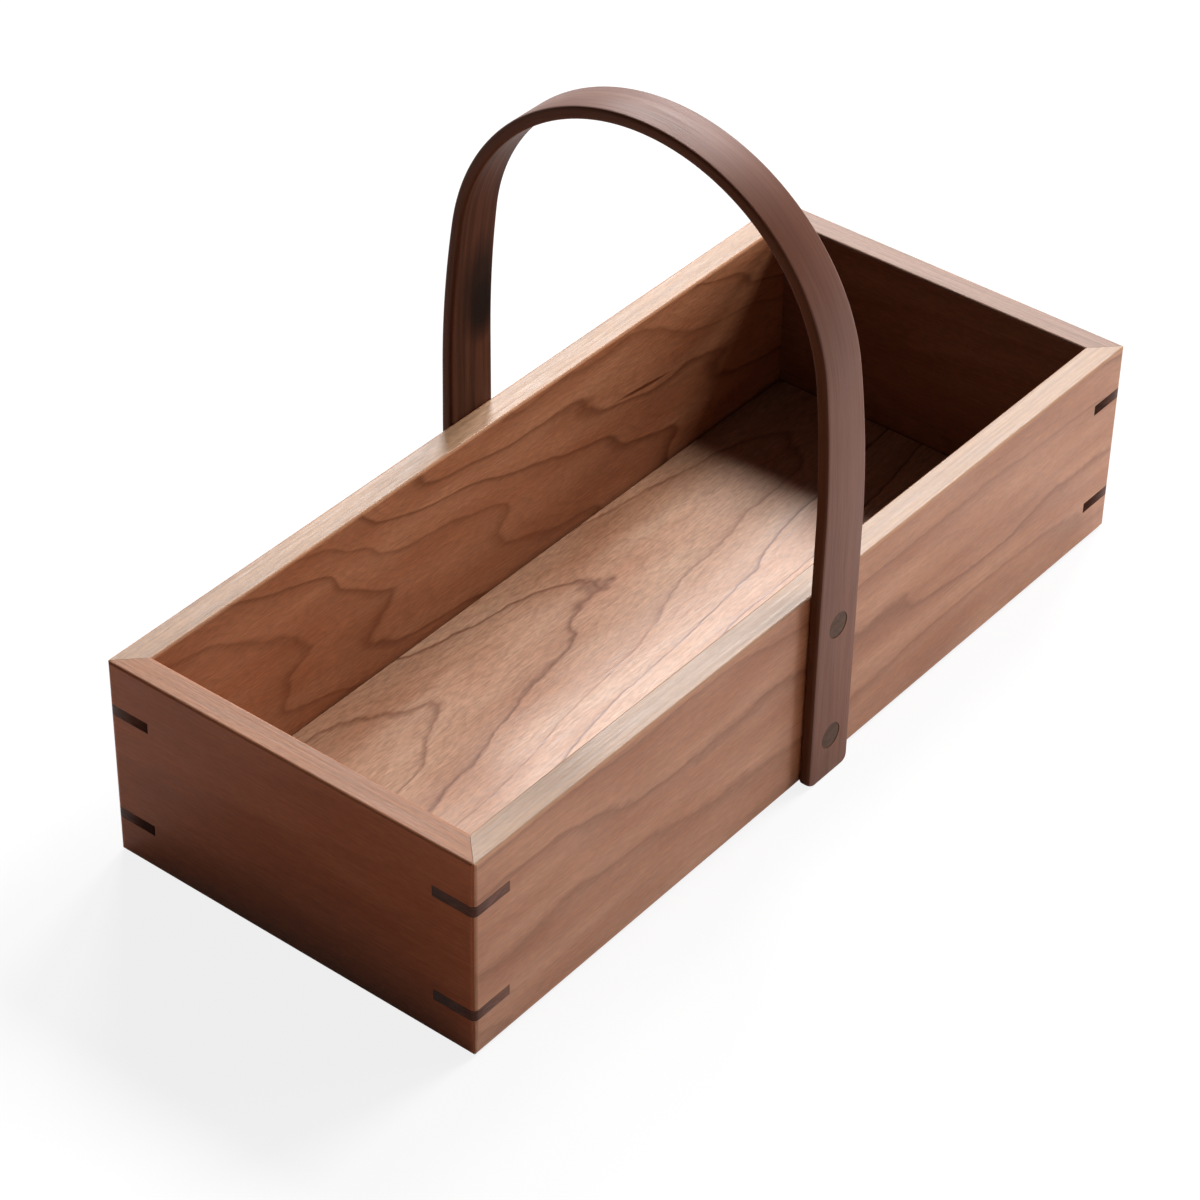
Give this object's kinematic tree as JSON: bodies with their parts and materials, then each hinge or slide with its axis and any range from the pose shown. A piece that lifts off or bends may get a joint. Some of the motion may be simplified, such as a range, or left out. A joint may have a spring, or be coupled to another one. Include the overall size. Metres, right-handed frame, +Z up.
{
  "type": "wooden storage box",
  "caption": "Open rectangular wooden storage box with splined mitred corners and a bent strap handle arching across the middle, for carrying and keeping small things.",
  "frame": {"origin": "on the ground, under the middle of the box", "axes": "+X along the length of the box, +Y across it towards the back long wall, +Z up"},
  "size_m": [0.354, 0.1592, 0.2245],
  "materials": {
    "cherry": "oiled cherry, satin, fine lengthwise grain",
    "walnut": "oiled walnut, satin, grain along the bend",
    "dark_walnut": "dark oiled walnut, sanded flush with the walls",
    "peg_wood": "dark end grain, sanded flush with the handle"
  },
  "bodies": {
    "root": {"front_wall": "cherry", "back_wall": "cherry", "left_end_wall": "cherry", "right_end_wall": "cherry", "floor_panel": "cherry", "corner_spline_back_right_upper": "dark_walnut", "corner_spline_back_right_lower": "dark_walnut", "corner_spline_back_left_upper": "dark_walnut", "corner_spline_back_left_lower": "dark_walnut", "corner_spline_front_left_upper": "dark_walnut", "corner_spline_front_left_lower": "dark_walnut", "corner_spline_front_right_upper": "dark_walnut", "corner_spline_front_right_lower": "dark_walnut", "handle_bow": "walnut", "handle_peg_back_upper": "peg_wood", "handle_peg_back_lower": "peg_wood", "handle_peg_front_upper": "peg_wood", "handle_peg_front_lower": "peg_wood"}
  },
  "joints": []
}
